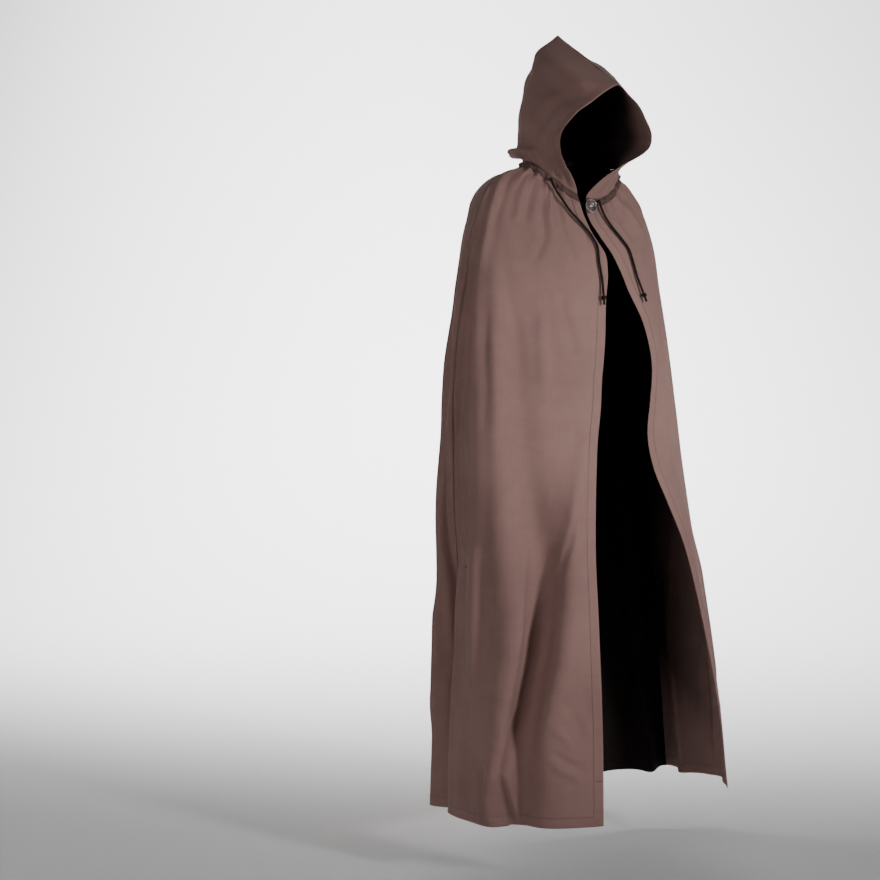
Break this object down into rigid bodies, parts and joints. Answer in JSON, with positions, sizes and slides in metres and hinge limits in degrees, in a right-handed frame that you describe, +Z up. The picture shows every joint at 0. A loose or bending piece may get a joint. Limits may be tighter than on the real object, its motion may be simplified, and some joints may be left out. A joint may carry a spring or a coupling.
{
  "type": "hooded cloak",
  "caption": "Full-length hooded cloak with a gathered neck, drawstring, and a loop and button at the throat, in its worn shape and open down the front.",
  "frame": {"origin": "middle of the neck opening, at the level of the seam between the neck casing and the body", "axes": "+Z up; the wearer would face -Y, so the wearer's right is -X"},
  "size_m": [0.667, 0.4503, 1.6687],
  "materials": {
    "cloak_cloth": "matt dusty mauve-brown cotton cloth in a close plain weave",
    "drawstring_braid": "near-black round braided cord",
    "button_pewter": "dull cast pewter-coloured metal with plain concentric rings"
  },
  "bodies": {
    "root": {"hood_right": "cloak_cloth", "hood_left": "cloak_cloth", "neck_casing": "cloak_cloth", "front_right": "cloak_cloth", "back_right": "cloak_cloth", "back_left": "cloak_cloth", "front_left": "cloak_cloth", "drawstring_right": "drawstring_braid", "drawstring_left": "drawstring_braid", "knot_right": "drawstring_braid", "knot_left": "drawstring_braid", "button_loop": "drawstring_braid", "button": "button_pewter"}
  },
  "joints": []
}
